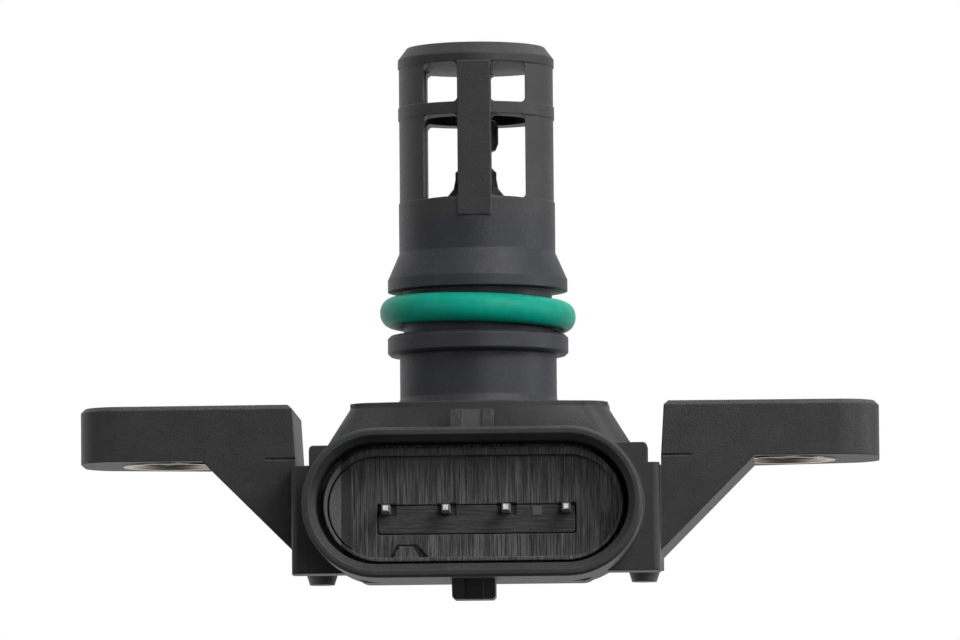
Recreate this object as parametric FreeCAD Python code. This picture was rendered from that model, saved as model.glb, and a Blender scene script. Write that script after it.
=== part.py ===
import FreeCAD, Part
import math
import os

# Manifold absolute pressure sensor with a caged air temperature probe.
# Millimetres. The origin lies on the nose axis, level with the top of the body.
# Z points to the tip of the nose, the plug socket opens towards -Y, and the
# two fixing ears lie along X.

V = FreeCAD.Vector

# Fixing ears
ear_reach = 31.87
ear_inner_end = 14.83
ear_shift = 0.12
ear_end_draft = 0.3
ear_top = 0.15
ear_thickness = 4.43
ear_half_depth = 5.45
ear_tip_half_depth = 5.05
ear_root_rear = 8.8
ear_root_chamfer = 1.5
ear_corner_radius = 3.2
ear_edge_chamfer = 0.34
ear_free_length = 9.87
ear_hole_inset = 7.37
ear_web_foot_rise = 0.59
ear_seam_length = 2.1
ear_seam_width = 0.14
ear_seam_depth = 0.16
ear_seam_height = 0.8

# Metal bushes moulded into the ears
bush_radius = 4.0
bush_bore_radius = 3.1
bush_stand_off = 0.12
bush_groove_depth = 0.35
bush_groove_width = 1.3
bush_lead_in = 0.3

# Body
body_half_depth = 9.0
shoulder_shift = 0.25
top_half_width = 10.24
top_side_front = 6.0
top_corner_run = 2.1
top_crown_front = 9.0
top_land = 0.4
flare_growth = 1.85
flare_foot_drop = 3.42
step_half_width = 13.39
step_corner_radius = 0.35
step_drop = 5.0
block_half_width = 14.57
block_drop = 12.7
block_front_radius = 0.5
block_rear_radius = 2.0
front_plate_skirt = 0.88
front_plate_thickness = 3.0
saddle_half_width = 9.65
saddle_depth = 1.64
saddle_length = 3.8
saddle_radius = 1.2
foot_root_radius = 1.3
foot_tip_radius = 1.0
foot_offset_x = 12.98
foot_offset_y = 6.5
foot_height = 0.92

# Nose: radii, and the length of each part from the body to the tip
neck_radius = 6.28
neck_flare = 0.8
neck_length = 4.25
collar_radius = 7.23
collar_length = 1.6
collar_edge = 0.22
groove_radius = 5.95
groove_length = 3.55
lip_radius = 7.2
lip_land = 0.9
lip_shoulder_length = 2.15
cage_radius = 6.26
cage_post_radius = 6.18
cage_bore_radius = 4.3
cage_base_length = 4.02
lower_window_length = 6.7
mid_ring_length = 0.97
upper_window_length = 3.22
cap_length = 1.6
cap_chamfer_drop = 0.94
cap_chamfer_width = 0.7
cage_cup_depth = 0.55
window_half_span = 4.07
window_corner_radius = 0.4
front_rib_half_width = 1.32
front_rib_shift = 0.05
rear_rib_half_width = 0.95
rib_pad_drop = 1.4
rib_pad_rise = 0.05

# Sealing ring
ring_section_radial = 0.93
ring_section_axial = 1.15
ring_section_sides = 24
ring_centre_shift = -0.1
ring_groove_gap = 0.03
ring_tilt_side_deg = 1.9
ring_tilt_front_deg = 0.9

# Plug socket
socket_rise = 4.26
shroud_reach = 16.0
shroud_half_width = 13.37
shroud_half_height = 5.9
shroud_edge_chamfer = 0.2
socket_half_width = 12.3
socket_half_height = 4.81
socket_lead_in = 0.53
socket_lead_depth = 0.5
relief_floor_reach = 11.2
inner_block_reach = 13.0
inner_block_half_width = 11.8
inner_block_half_height = 4.47
well_depth = 1.0
well_half_width = 11.5
well_half_height = 4.0
well_shift_down = 0.16
coding_land_chord = 10.42
coding_land_draft = 0.8
coding_land_sink = 0.2
coding_land_gap = 0.12
key_centre = -5.33
key_base_half_width = 1.1
key_tip_half_width = 0.54
key_height = 0.88
key_side_draft = 0.3
key_groove_width = 0.09
key_groove_depth = 0.3
lug_half_width = 1.7
lug_rail_width = 0.95
lug_height = 1.6
lug_corner_chamfer = 0.2
lug_web_setback = 0.3
lug_front_reach = 14.5
lug_ramp_length = 1.3
lug_rear_reach = 10.6

# Terminals and the insert that carries them
terminal_count = 4
terminal_pitch = 4.73
terminal_row_shift = 0.24
terminal_row_drop = 0.36
terminal_width = 0.64
terminal_tip_reach = 14.6
terminal_tip_length = 0.6
terminal_tip_width = 0.4
terminal_leg_place = -3.0
terminal_leg_tail = 0.5
carrier_half_width = 7.76
carrier_height = 2.2
carrier_gap = 0.08
carrier_corner_radius = 0.22
pin_pocket_width = 1.5
pin_pocket_height = 1.0
pin_pocket_depth = 0.5
gate_mark_size = 0.75
gate_mark_height = 0.06

# Sensing chamber, open below and closed by the cover
chamber_roof_drop = 3.6
chamber_half_width = 9.8
chamber_front = -4.2
chamber_rear = 7.0
board_ledge = 0.8
board_gap = 0.2
board_ledge_height = 1.6
board_thickness = 1.0
board_corner_radius = 0.6
chamber_corner_radius = 0.8
cover_thickness = 1.2
cover_seat_width = 0.8
cover_gap = 0.12
cover_bead_height = 0.3
cover_bead_width = 0.55
cover_rim_height = 0.5
cover_rim_width = 0.5
cover_panel_sink = 0.35
cover_panel_margin = 2.2
cover_corner_radius = 1.4
cover_inner_radius = 0.5

# Pressure path and sensing element
pressure_bore_radius = 1.2
pressure_bore_place = 3.0
spigot_radius = 2.6
spigot_wall = 0.8
dam_height = 0.7
gel_height = 1.4
pedestal_size = 1.7
pedestal_height = 0.45
die_height = 0.4
bond_wire_count = 4
bond_wire_pitch = 0.4
bond_wire_size = 0.07
bond_wire_reach = 1.0
bond_wire_rise = 0.25

# Board parts
board_hole_gap = 0.15
signal_chip_length = 4.9
signal_chip_width = 3.9
signal_chip_height = 1.3
signal_chip_stand = 0.1
signal_chip_place_x = 7.0
signal_chip_place_y = 2.2
signal_leg_count = 4
signal_leg_pitch = 1.1
signal_leg_width = 0.4
signal_leg_reach = 0.75
signal_leg_thickness = 0.2
capacitor_count = 4
capacitor_length = 2.0
capacitor_width = 1.25
capacitor_height = 0.9
capacitor_pitch = 2.0
capacitor_place_x = -7.0
capacitor_place_y = 3.0
solder_radius = 0.8
solder_tip_radius = 0.5
solder_height = 0.4

# Air temperature probe in the cage
probe_place = -1.6
lead_half_pitch = 0.95
lead_radius = 0.25
lead_hole_gap = 0.15
lead_tail = 0.4
bead_radius = 1.62
bead_shift = 0.2
bead_length = 2.9
bead_shoulder = 0.8
bead_end_radius = 0.75
lead_end_in_bead = 1.2
bead_clearance = 1.0
potting_neck_radius = 1.65
potting_neck_length = 3.4
potting_skirt_radius = 2.4
potting_skirt_height = 0.75
potting_fill_depth = 0.85

# Values worked out from the sizes above
ear_bottom = ear_top - ear_thickness
ear_web_start = ear_reach - ear_free_length
hole_place = ear_reach - ear_hole_inset
collar_top = neck_length + collar_length
groove_top = collar_top + groove_length
ring_centre_height = (collar_top + groove_top) / 2 + ring_centre_shift
lip_top = groove_top + lip_land
lip_shoulder_top = lip_top + lip_shoulder_length
lower_window_base = lip_shoulder_top + cage_base_length
lower_window_top = lower_window_base + lower_window_length
upper_window_base = lower_window_top + mid_ring_length
upper_window_top = upper_window_base + upper_window_length
cage_top = upper_window_top + cap_length
cage_floor = lower_window_base - cage_cup_depth
rib_pad_base = lower_window_base - rib_pad_drop
rib_pad_face = cage_radius + rib_pad_rise
potting_neck_top = cage_floor + potting_neck_length
bead_base = potting_neck_top + bead_clearance
bead_top = bead_base + bead_length
front_plate_drop = block_drop + front_plate_skirt
saddle_drop = block_drop + saddle_depth
foot_drop = block_drop + foot_height
socket_z = -block_drop + socket_rise
body_front = -body_half_depth
well_floor = -(inner_block_reach - well_depth)
cover_bottom = -block_drop
cover_top = cover_bottom + cover_thickness
cover_seat = cover_top + cover_bead_height
board_top = cover_seat + board_ledge_height
board_bottom = board_top - board_thickness
ledge_half_width = chamber_half_width + board_ledge
ledge_front = chamber_front - board_ledge / 2
ledge_rear = chamber_rear + board_ledge / 2
board_half_width = ledge_half_width - board_gap
board_front = chamber_front + board_gap
board_rear = ledge_rear - board_gap
terminal_z = socket_z - terminal_row_drop
terminal_half = terminal_width / 2
carrier_top = terminal_z + terminal_half
carrier_bottom = carrier_top - carrier_height
carrier_rear = chamber_front


def box(x0, x1, y0, y1, z0, z1):
    return Part.makeBox(x1 - x0, y1 - y0, z1 - z0, V(x0, y0, z0))


def post(radius, z0, z1, x=0.0, y=0.0):
    return Part.makeCylinder(radius, z1 - z0, V(x, y, z0), V(0, 0, 1))


def cone_post(r0, r1, z0, z1, x=0.0, y=0.0):
    return Part.makeCone(r0, r1, z1 - z0, V(x, y, z0), V(0, 0, 1))


def prism(points, direction):
    wire = Part.makePolygon(points + points[:1])
    return Part.Face(wire).extrude(direction)


def side_prism(points, y0, y1):
    return prism([V(x, y0, z) for x, z in points], V(0, y1 - y0, 0))


def end_prism(points, x0, x1):
    return prism([V(x0, y, z) for y, z in points], V(x1 - x0, 0, 0))


def plan_prism(points, z0, z1):
    return prism([V(x, y, z0) for x, y in points], V(0, 0, z1 - z0))


def join(shapes):
    first, rest = shapes[0], shapes[1:]
    return first.multiFuse(rest).removeSplitter()


def edges_where(shape, test):
    return [e for e in shape.Edges if all(test(v.Point) for v in e.Vertexes)]


def near(a, b):
    return abs(a - b) < 1e-6


def upright_edges(shape, test):
    found = []
    for edge in shape.Edges:
        ends = [v.Point for v in edge.Vertexes]
        if len(ends) == 2 and near(ends[0].x, ends[1].x) and near(ends[0].y, ends[1].y):
            if test(ends[0]):
                found.append(edge)
    return found


def rounded_box(x0, x1, y0, y1, z0, z1, radius):
    solid = box(x0, x1, y0, y1, z0, z1)
    return solid.makeFillet(radius, upright_edges(solid, lambda p: True))


def turned(start, steps):
    """Solid of revolution about Z. A step is a point, or a middle point and an end point of an arc."""
    at = V(start[0], 0, start[1])
    first = at
    edges = []
    for step in steps:
        if isinstance(step[0], tuple):
            middle, end = (V(r, 0, z) for r, z in step)
            edges.append(Part.Arc(at, middle, end).toShape())
        else:
            end = V(step[0], 0, step[1])
            edges.append(Part.LineSegment(at, end).toShape())
        at = end
    edges.append(Part.LineSegment(at, first).toShape())
    return Part.Face(Part.Wire(edges)).revolve(V(0, 0, 0), V(0, 0, 1), 360)


def stadium_wire(half_width, half_height, y, z):
    """Outline with full-round ends, across Y."""
    straight = half_width - half_height
    right_top = V(straight, y, z + half_height)
    right_low = V(straight, y, z - half_height)
    left_top = V(-straight, y, z + half_height)
    left_low = V(-straight, y, z - half_height)
    return Part.Wire([
        Part.LineSegment(left_top, right_top).toShape(),
        Part.Arc(right_top, V(half_width, y, z), right_low).toShape(),
        Part.LineSegment(right_low, left_low).toShape(),
        Part.Arc(left_low, V(-half_width, y, z), left_top).toShape(),
    ])


def stadium(half_width, half_height, y0, y1, z):
    face = Part.Face(stadium_wire(half_width, half_height, y0, z))
    return face.extrude(V(0, y1 - y0, 0))


def terminal_places():
    first = terminal_row_shift - terminal_pitch * (terminal_count - 1) / 2
    return [first + terminal_pitch * i for i in range(terminal_count)]


# Ears

def ear_plan(rear_points, z0, z1):
    """Outline of an ear from above, with the points along its rear given from the tip inwards."""
    root = block_half_width - 0.4
    plan = plan_prism([
        (root, -ear_half_depth),
        (ear_reach, -ear_tip_half_depth),
        (ear_reach, ear_tip_half_depth),
    ] + rear_points, z0, z1)
    return plan.makeFillet(ear_corner_radius, upright_edges(plan, lambda p: near(p.x, ear_reach)))


def ear_seam():
    """Short groove in the front of the ear, level with the foot of its inner end."""
    z = -step_drop + ear_seam_height
    return box(ear_inner_end - 1.0, ear_inner_end + ear_seam_length, -ear_half_depth - 1.0,
               -ear_half_depth + ear_seam_depth, z - ear_seam_width / 2, z + ear_seam_width / 2)


def ear_solid():
    """One ear with its sloping web; the other is its mirror image."""
    root = block_half_width - 0.4
    web_foot = -block_drop + ear_web_foot_rise
    slab = ear_plan([
        (ear_inner_end + ear_root_chamfer, ear_root_rear),
        (ear_inner_end - 1.0, ear_root_rear - ear_root_chamfer),
        (ear_inner_end - 1.0, -ear_half_depth),
    ], ear_bottom, ear_top)
    inner_end = side_prism([
        (ear_inner_end, ear_top + 0.5),
        (ear_reach + 1.0, ear_top + 0.5),
        (ear_reach + 1.0, ear_bottom - 0.5),
        (ear_inner_end - ear_end_draft, ear_bottom - 0.5),
        (ear_inner_end - ear_end_draft, ear_bottom),
    ], -body_half_depth, body_half_depth)
    slab = slab.common(inner_end)
    slab = slab.makeChamfer(ear_edge_chamfer, edges_where(slab, lambda p: near(p.z, ear_top)))
    web = side_prism([
        (ear_web_start, ear_bottom),
        (root, web_foot),
        (root, -step_drop),
        (ear_inner_end - ear_end_draft, -step_drop),
        (ear_inner_end - ear_end_draft, ear_bottom),
    ], -body_half_depth, body_half_depth)
    web = web.common(ear_plan([(root, ear_half_depth)], web_foot - 1.0, ear_bottom))
    return join([slab, web]).cut(ear_seam())


def bush_seat(x):
    """Outside of a bush, with the groove that holds it in the ear."""
    low = (ear_top + ear_bottom - bush_groove_width) / 2
    waist = bush_radius - bush_groove_depth
    solid = turned((0, ear_bottom - bush_stand_off), [
        (bush_radius, ear_bottom - bush_stand_off),
        (bush_radius, low),
        (waist, low),
        (waist, low + bush_groove_width),
        (bush_radius, low + bush_groove_width),
        (bush_radius, ear_top),
        (0, ear_top),
    ])
    solid.translate(V(x, 0, 0))
    return solid


def bush_solid(x):
    low = ear_bottom - bush_stand_off
    mouth = bush_bore_radius + bush_lead_in
    bore = post(bush_bore_radius, low - 1.0, ear_top + 1.0, x)
    lead_ins = [cone_post(mouth, bush_bore_radius, low, low + bush_lead_in, x),
                cone_post(bush_bore_radius, mouth, ear_top - bush_lead_in, ear_top, x)]
    return bush_seat(x).cut([bore] + lead_ins)


# Body

def shoulder_wire(growth, z):
    """Outline of the shoulder: flat sides, rounded front corners, bowed front and a round rear."""
    half = top_half_width + growth
    front = -top_side_front - growth / 2
    turn = front - top_corner_run
    crown = min(top_crown_front + growth, body_half_depth)
    mid = half - top_corner_run * (1 - math.sqrt(0.5))
    mid_y = front - top_corner_run * math.sqrt(0.5)
    flat = half - top_corner_run
    rear = body_half_depth
    points = [V(-half, 0, z), V(-half, front, z), V(-flat, turn, z), V(flat, turn, z), V(half, front, z), V(half, 0, z)]
    return Part.Wire([
        Part.LineSegment(points[0], points[1]).toShape(),
        Part.Arc(points[1], V(-mid, mid_y, z), points[2]).toShape(),
        Part.Arc(points[2], V(0, -crown, z), points[3]).toShape(),
        Part.Arc(points[3], V(mid, mid_y, z), points[4]).toShape(),
        Part.LineSegment(points[4], points[5]).toShape(),
        Part.Arc(points[5], V(0, rear, z), points[0]).toShape(),
    ])


def shoulder_solid():
    """Flared upper part of the body under the nose."""
    solid = Part.makeLoft([
        shoulder_wire(flare_growth, -step_drop - 0.3),
        shoulder_wire(flare_growth, -flare_foot_drop),
        shoulder_wire(0, -top_land),
        shoulder_wire(0, 0),
    ], True, True)
    solid.translate(V(shoulder_shift, 0, 0))
    return solid


def block_solid():
    front_plate = box(-block_half_width, block_half_width, body_front,
                      body_front + front_plate_thickness, -front_plate_drop, -step_drop)
    front_plate = front_plate.makeFillet(
        block_front_radius, upright_edges(front_plate, lambda p: near(p.y, body_front)))
    rear = box(-block_half_width, block_half_width, body_front + front_plate_thickness / 2,
               body_half_depth, -block_drop, -step_drop)
    rear = rear.makeFillet(block_rear_radius, upright_edges(rear, lambda p: near(p.y, body_half_depth)))
    return join([front_plate, rear, step_solid()])


def step_solid():
    """Narrow step on top of the front plate, between the ears."""
    step = box(-step_half_width, step_half_width, body_front, body_front + front_plate_thickness,
               -step_drop - 0.2, -flare_foot_drop)
    ends = [e for e in edges_where(step, lambda p: near(p.z, -flare_foot_drop))
            if near(abs(e.CenterOfMass.x), step_half_width)]
    step = step.makeFillet(step_corner_radius, ends)
    step.translate(V(shoulder_shift, 0, 0))
    return step


def saddle_solid():
    """Boss under the root of the plug socket."""
    saddle = box(-saddle_half_width, saddle_half_width, body_front,
                 body_front + saddle_length, -saddle_drop, socket_z)
    low = edges_where(saddle, lambda p: near(p.z, -saddle_drop))
    sides = [e for e in low if near(abs(e.CenterOfMass.x), saddle_half_width)]
    return saddle.makeFillet(saddle_radius, sides)


def foot_solid(x):
    """Tapered foot that stands out under the block."""
    root = post(foot_root_radius, -block_drop, -block_drop + 0.3, x, foot_offset_y)
    return root.fuse(cone_post(foot_tip_radius, foot_root_radius, -foot_drop, -block_drop, x, foot_offset_y))


def feet():
    return [foot_solid(side * foot_offset_x) for side in (-1, 1)]


# Nose

def nose_solid():
    bend = neck_flare * (1 - math.sqrt(0.5))
    chamfer_base = cage_top - cap_chamfer_drop
    return turned((0, -1.0), [
        (neck_radius + neck_flare, -1.0),
        (neck_radius + neck_flare, 0),
        (neck_radius + bend, bend),
        (neck_radius, neck_flare),
        (neck_radius, neck_length),
        (collar_radius - collar_edge, neck_length),
        (collar_radius, neck_length + collar_edge),
        (collar_radius, collar_top - collar_edge),
        (collar_radius - collar_edge, collar_top),
        (groove_radius, collar_top),
        (groove_radius, groove_top),
        (lip_radius, groove_top),
        (lip_radius, lip_top),
        (cage_radius, lip_shoulder_top),
        (cage_radius, lower_window_base),
        (cage_post_radius, lower_window_base),
        (cage_post_radius, lower_window_top),
        (cage_radius, lower_window_top),
        (cage_radius, upper_window_base),
        (cage_post_radius, upper_window_base),
        (cage_post_radius, upper_window_top),
        (cage_radius, upper_window_top),
        (cage_radius, chamfer_base),
        (cage_radius - cap_chamfer_width, cage_top),
        (0, cage_top),
    ])


def window(x0, x1, y0, y1, z0, z1):
    solid = box(x0, x1, y0, y1, z0, z1)
    along = [e for e in solid.Edges
             if near(e.Vertexes[0].Point.x, e.Vertexes[1].Point.x)
             and near(e.Vertexes[0].Point.z, e.Vertexes[1].Point.z)]
    return solid.makeFillet(window_corner_radius, along)


def cage_windows():
    """See-through windows, left and right of the front and rear ribs, in two rows."""
    reach = cage_radius + 1.0
    cuts = []
    for z0, z1 in ((lower_window_base, lower_window_top), (upper_window_base, upper_window_top)):
        for side in (-1, 1):
            outer = side * window_half_span
            for rib, shift, y0, y1 in ((front_rib_half_width, front_rib_shift, -reach, 0),
                                       (rear_rib_half_width, 0, 0, reach)):
                x0, x1 = sorted((outer, side * rib + shift))
                cuts.append(window(x0, x1, y0, y1, z0, z1))
    return cuts


def rib_pad():
    """Flat face of the front rib, which runs on down over the base of the cage."""
    return box(front_rib_shift - front_rib_half_width, front_rib_shift + front_rib_half_width,
               -rib_pad_face, -cage_bore_radius, rib_pad_base, upper_window_top)


def nose_cuts():
    cage_bore = post(cage_bore_radius, cage_floor, upper_window_top)
    pressure_bore = post(pressure_bore_radius, -chamber_roof_drop - 1.0, cage_floor + 0.5,
                         0, pressure_bore_place)
    leads = [post(lead_radius + lead_hole_gap, -chamber_roof_drop - 0.5, cage_floor + 0.5, x, probe_place)
             for x in (-lead_half_pitch, lead_half_pitch)]
    return [cage_bore, pressure_bore] + leads + cage_windows()


# Plug socket

def shroud_solid():
    shroud = stadium(shroud_half_width, shroud_half_height, -shroud_reach,
                     body_front + saddle_length, socket_z)
    return shroud.makeChamfer(shroud_edge_chamfer, edges_where(shroud, lambda p: near(p.y, -shroud_reach)))


def lug_solid(side):
    """Latch lug for the plug: two rails and a web between them. Side is 1 above and -1 below the shroud."""
    foot = socket_z + side * (shroud_half_height - 0.3)
    crest = socket_z + side * (shroud_half_height + lug_height)
    inner = lug_half_width - lug_rail_width
    guard = box(-lug_half_width, lug_half_width, -lug_front_reach, -lug_rear_reach,
                min(foot, crest), max(foot, crest))
    corners = [e for e in edges_where(guard, lambda p: near(p.z, crest))
               if near(abs(e.CenterOfMass.x), lug_half_width)]
    guard = guard.makeChamfer(lug_corner_chamfer, corners)

    def ramped(front, x0, x1):
        return end_prism([(-front, foot), (-front + lug_ramp_length, crest), (-lug_rear_reach, crest),
                          (-lug_rear_reach, foot)], x0, x1)

    return [
        ramped(lug_front_reach, -lug_half_width, -inner).common(guard),
        ramped(lug_front_reach, inner, lug_half_width).common(guard),
        ramped(lug_front_reach - lug_web_setback, -inner, inner),
    ]


def socket_space():
    """Space inside the shroud, round and in front of the block that holds the terminals."""
    mouth = Part.makeLoft([
        stadium_wire(socket_half_width + socket_lead_in, socket_half_height + socket_lead_in,
                     -shroud_reach, socket_z),
        stadium_wire(socket_half_width, socket_half_height, -shroud_reach + socket_lead_depth, socket_z),
    ], True, True)
    bore = stadium(socket_half_width, socket_half_height, -shroud_reach - 1.0, -relief_floor_reach, socket_z)
    block = stadium(inner_block_half_width, inner_block_half_height, -inner_block_reach,
                    -relief_floor_reach + 0.5, socket_z)
    well = stadium(well_half_width, well_half_height, -inner_block_reach - 0.5, well_floor, well_z())
    block = block.cut([well, key_groove()]).multiFuse([coding_land(), coding_key()])
    return mouth.fuse(bore).cut(block)


def well_z():
    return socket_z - well_shift_down


def coding_land():
    """Raised land at the left end of the well, with one sloping side."""
    front = -inner_block_reach + coding_land_sink
    outline = stadium(well_half_width - coding_land_gap, well_half_height - coding_land_gap,
                      front, well_floor + 0.2, well_z())
    wedge = plan_prism([
        (-well_half_width - 1.0, front - 0.5),
        (-coding_land_chord, front - 0.5),
        (-coding_land_chord, front),
        (-coding_land_chord + coding_land_draft, well_floor),
        (-coding_land_chord + coding_land_draft, well_floor + 0.5),
        (-well_half_width - 1.0, well_floor + 0.5),
    ], well_z() - well_half_height - 1.0, well_z() + well_half_height + 1.0)
    return outline.common(wedge)


def key_outline(low, spread, y):
    """Outline of the coding key across Y; a spread widens it, most of all on the right."""
    high = well_z() - well_half_height + key_height + spread / 4
    points = [
        V(key_centre - key_base_half_width - spread / 4, y, low),
        V(key_centre - key_tip_half_width - spread / 4, y, high),
        V(key_centre + key_tip_half_width + spread / 2, y, high),
        V(key_centre + key_base_half_width + spread, y, low),
    ]
    return Part.makePolygon(points + points[:1])


def coding_key():
    """Small key on the lower wall of the well."""
    low = well_z() - well_half_height - 0.15
    return Part.makeLoft([key_outline(low, 0, -inner_block_reach + coding_land_sink),
                          key_outline(low, key_side_draft, well_floor + key_groove_depth + 0.2)], True, True)


def key_groove():
    """Fine groove in the floor of the well round the foot of the key."""
    low = well_z() - well_half_height - 0.02
    spread = key_side_draft + key_groove_width * 4
    return Part.makeLoft([key_outline(low, spread, well_floor - 0.2),
                          key_outline(low, spread, well_floor + key_groove_depth)], True, True)


def carrier_block(gap):
    """Insert that holds the terminals; a gap makes it larger all round."""
    x0 = terminal_row_shift - carrier_half_width - gap
    x1 = terminal_row_shift + carrier_half_width + gap
    solid = box(x0, x1, well_floor, carrier_rear, carrier_bottom - gap, carrier_top + gap)
    low = [e for e in solid.Edges if near(e.CenterOfMass.z, carrier_bottom - gap)
           and near(abs(e.CenterOfMass.x - terminal_row_shift), carrier_half_width + gap)]
    return solid.makeFillet(carrier_corner_radius, low)


def pin_pockets():
    """Shallow pocket round the root of each terminal."""
    half_w = pin_pocket_width / 2
    half_h = pin_pocket_height / 2
    return [box(x - half_w, x + half_w, well_floor - 0.5, well_floor + pin_pocket_depth,
                terminal_z - half_h, terminal_z + half_h) for x in terminal_places()]


def terminal_solid(x):
    """Square blade from the socket to the chamber, with a leg down through the board."""
    half = terminal_half
    tail = board_bottom - terminal_leg_tail

    def square(side, y):
        h = side / 2
        points = [V(x - h, y, terminal_z - h), V(x + h, y, terminal_z - h),
                  V(x + h, y, terminal_z + h), V(x - h, y, terminal_z + h)]
        return Part.makePolygon(points + points[:1])

    shoulder = -terminal_tip_reach + terminal_tip_length
    tip = Part.makeLoft([square(terminal_tip_width, -terminal_tip_reach),
                         square(terminal_width, shoulder)], True, True)
    blade = box(x - half, x + half, shoulder, terminal_leg_place + half, terminal_z - half, terminal_z + half)
    leg = box(x - half, x + half, terminal_leg_place - half, terminal_leg_place + half,
              tail, terminal_z)
    return join([tip, blade, leg])


def carrier_solid():
    blades = [box(x - terminal_half, x + terminal_half, well_floor - 1.0, carrier_rear + 1.0,
                  terminal_z - terminal_half, terminal_z + terminal_half) for x in terminal_places()]
    gate_x = terminal_places()[-1] - terminal_pitch / 2
    gate = box(gate_x - gate_mark_size / 2, gate_x + gate_mark_size / 2, well_floor - gate_mark_height,
               well_floor + 0.2, carrier_top - gate_mark_size - 0.1, carrier_top - 0.1)
    return carrier_block(0).multiFuse([gate]).cut(blades + pin_pockets()).removeSplitter()


# Chamber and what it holds

def chamber_space():
    """Chamber with its spigot left standing, the board ledge and the seat of the cover."""
    upper = rounded_box(-chamber_half_width, chamber_half_width, chamber_front, chamber_rear,
                        board_top - 0.5, -chamber_roof_drop, chamber_corner_radius)
    spigot = post(spigot_radius + spigot_wall, board_top + dam_height, -chamber_roof_drop + 0.5,
                  0, pressure_bore_place)
    spigot_bore = post(spigot_radius, board_top, -chamber_roof_drop, 0, pressure_bore_place)
    upper = upper.cut(spigot).fuse(spigot_bore)
    lower = rounded_box(-ledge_half_width, ledge_half_width, ledge_front, ledge_rear,
                        cover_seat - 0.5, board_top, chamber_corner_radius)
    seat = cover_outline(0, -block_drop - 1.0, cover_seat, cover_corner_radius)
    return join([upper, lower, seat])


def cover_outline(inset, z0, z1, radius):
    half = ledge_half_width + cover_seat_width - inset
    front = ledge_front - cover_seat_width + inset
    rear = ledge_rear + cover_seat_width - inset
    return rounded_box(-half, half, front, rear, z0, z1, radius)


def cover_solid():
    plate = cover_outline(cover_gap, cover_bottom, cover_top, cover_corner_radius)
    inset = cover_seat_width + board_gap
    rim = cover_outline(inset, cover_top - 0.1, cover_top + cover_rim_height, cover_inner_radius)
    rim_core = cover_outline(inset + cover_rim_width, cover_top - 0.1,
                             cover_top + cover_rim_height + 0.5, cover_inner_radius)
    panel = cover_outline(cover_panel_margin, cover_bottom - 0.5, cover_bottom + cover_panel_sink,
                          cover_inner_radius)
    return plate.fuse(rim.cut(rim_core)).cut(panel).removeSplitter()


def cover_seal_solid():
    outer = cover_outline(cover_gap, cover_top, cover_seat, cover_corner_radius)
    inner = cover_outline(cover_gap + cover_bead_width, cover_top - 0.5, cover_seat + 0.5, cover_inner_radius)
    return outer.cut(inner)


def board_solid():
    board = rounded_box(-board_half_width, board_half_width, board_front, board_rear,
                        board_bottom, board_top, board_corner_radius)
    leg_hole = terminal_half * math.sqrt(2) + board_hole_gap / 2
    holes = [post(leg_hole, board_bottom - 0.5, board_top + 0.5, x, terminal_leg_place)
             for x in terminal_places()]
    holes += [post(lead_radius + board_hole_gap, board_bottom - 0.5, board_top + 0.5, x, probe_place)
              for x in (-lead_half_pitch, lead_half_pitch)]
    return board.cut(holes)


def gel_dam_solid():
    outer = post(spigot_radius + spigot_wall, board_top, board_top + dam_height, 0, pressure_bore_place)
    return outer.cut(post(spigot_radius, board_top - 0.5, board_top + dam_height + 0.5, 0, pressure_bore_place))


def centred_block(size, z0, z1):
    half = size / 2
    return box(-half, half, pressure_bore_place - half, pressure_bore_place + half, z0, z1)


def pedestal_solid():
    return centred_block(pedestal_size, board_top, board_top + pedestal_height)


def die_solid():
    base = board_top + pedestal_height
    pit = pedestal_size / 3
    die = centred_block(pedestal_size, base, base + die_height)
    return die.cut(centred_block(pit, base + die_height * 0.7, base + die_height + 0.5))


def bond_wires():
    """Fine wires from the die down to pads on the board, two rows."""
    per_side = bond_wire_count // 2
    top = board_top + pedestal_height + die_height
    t = bond_wire_size
    start = pedestal_size / 2 - 0.15
    end = start + bond_wire_reach
    crest = top + bond_wire_rise
    profile = [
        (start - t, top), (start, top), (start + t, crest - t), (end - t * 3, crest - t),
        (end - t, board_top), (end, board_top), (end - t, crest), (start, crest),
    ]
    wires = []
    for side in (-1, 1):
        for i in range(per_side):
            y = pressure_bore_place + bond_wire_pitch * (i - (per_side - 1) / 2)
            wires.append(side_prism([(side * x, z) for x, z in profile], y - t / 2, y + t / 2))
    return wires


def gel_solid():
    gel = post(spigot_radius, board_top, board_top + gel_height, 0, pressure_bore_place)
    return gel.cut([pedestal_solid(), die_solid()] + bond_wires())


def signal_chip_solid():
    half_l = signal_chip_length / 2
    half_w = signal_chip_width / 2
    base = board_top + signal_chip_stand
    body = box(-half_l, half_l, -half_w, half_w, base, base + signal_chip_height)
    t = signal_leg_thickness
    knee = base + signal_chip_height / 2
    far = half_w + signal_leg_reach
    profile = [
        (half_w - 0.1, knee), (half_w + signal_leg_reach / 2, knee), (half_w + signal_leg_reach / 2, board_top + t),
        (far, board_top + t), (far, board_top), (half_w + signal_leg_reach / 2 - t, board_top),
        (half_w + signal_leg_reach / 2 - t, knee - t), (half_w - 0.1, knee - t),
    ]
    legs = []
    for side in (-1, 1):
        for i in range(signal_leg_count):
            x = signal_leg_pitch * (i - (signal_leg_count - 1) / 2)
            legs.append(end_prism([(side * y, z) for y, z in profile],
                                  x - signal_leg_width / 2, x + signal_leg_width / 2))
    chip = join([body] + legs)
    chip.translate(V(signal_chip_place_x, signal_chip_place_y, 0))
    return chip


def capacitors():
    parts = []
    for i in range(capacitor_count):
        y = capacitor_place_y + capacitor_pitch * (i - (capacitor_count - 1) / 2)
        parts.append(box(capacitor_place_x - capacitor_length / 2, capacitor_place_x + capacitor_length / 2,
                         y - capacitor_width / 2, y + capacitor_width / 2, board_top, board_top + capacitor_height))
    return parts


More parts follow.
